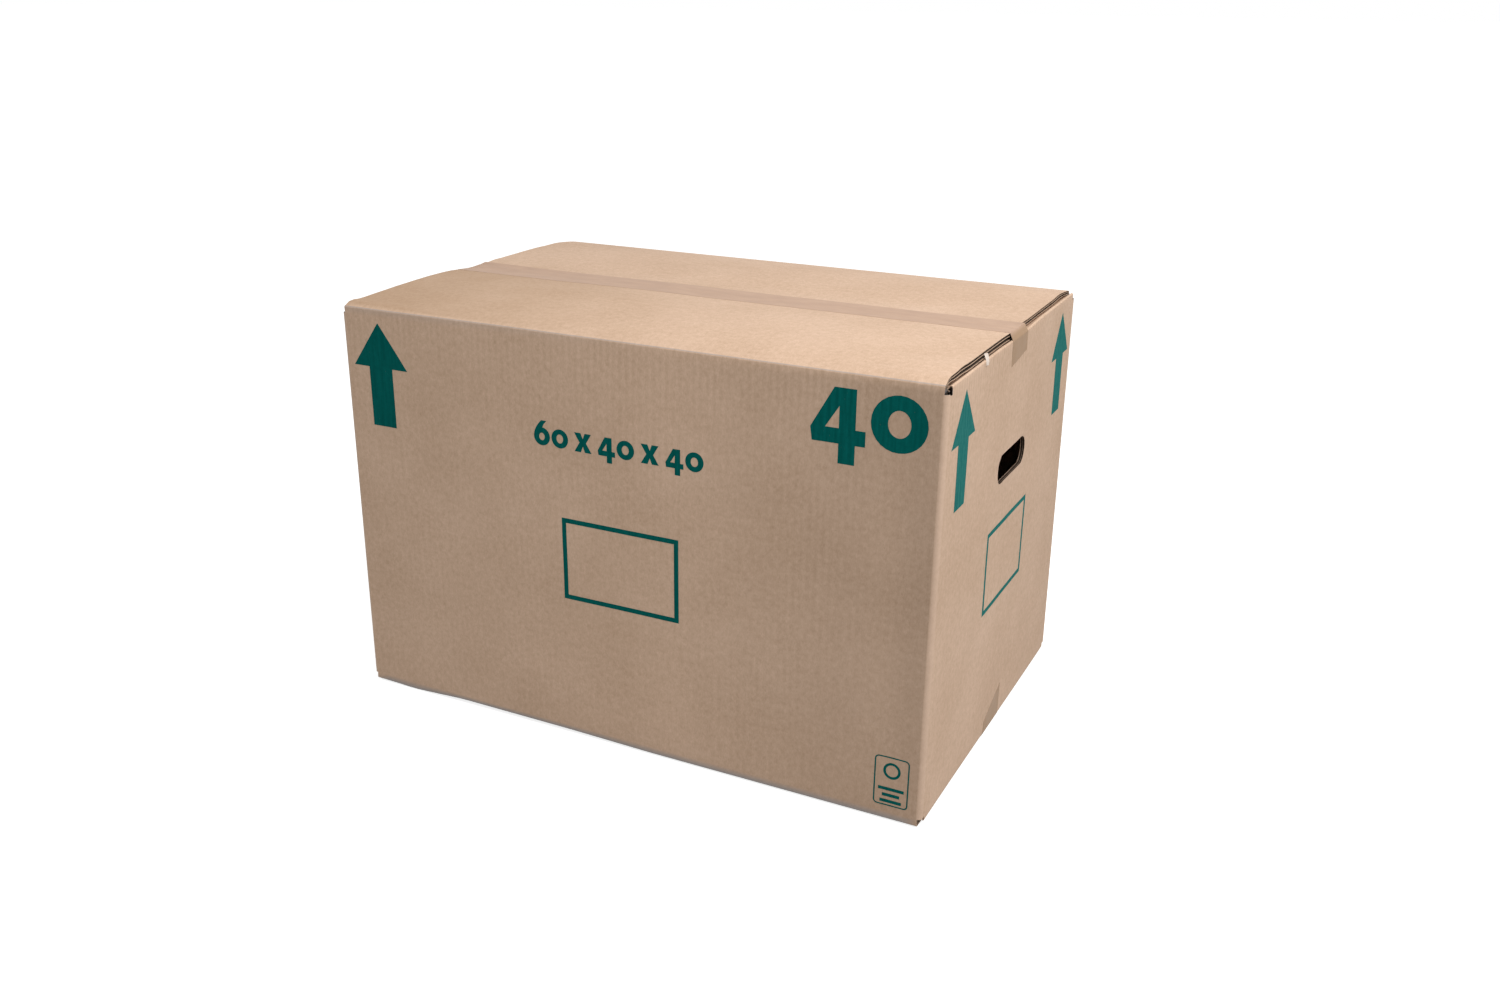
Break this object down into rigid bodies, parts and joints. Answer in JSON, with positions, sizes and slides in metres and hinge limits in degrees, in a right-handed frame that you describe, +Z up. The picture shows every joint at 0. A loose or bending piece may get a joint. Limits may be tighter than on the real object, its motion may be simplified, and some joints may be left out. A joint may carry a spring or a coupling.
{
  "type": "closed cardboard box",
  "caption": "Closed moving box in double wall corrugated board, taped top and bottom, with a hand hole in each end and plain printed arrows, frames and figures.",
  "frame": {"origin": "centre of the footprint, on the surface the box stands on", "axes": "+X along the long walls towards the end wall that the picture shows, -Y out of the printed long wall, +Z up"},
  "size_m": [0.6004, 0.4002, 0.402],
  "materials": {
    "board": "matt kraft board with faint flute lines",
    "tape": "thin brown parcel tape, slightly glossy",
    "print": "matt dark green printing ink on the board",
    "scrap": "torn pale paper"
  },
  "bodies": {
    "root": {"carton": "board", "top_tape": "tape", "bottom_tape": "tape", "front_print": "print", "back_print": "print", "right_end_print": "print", "left_end_print": "print", "paper_scrap": "scrap"}
  },
  "joints": []
}
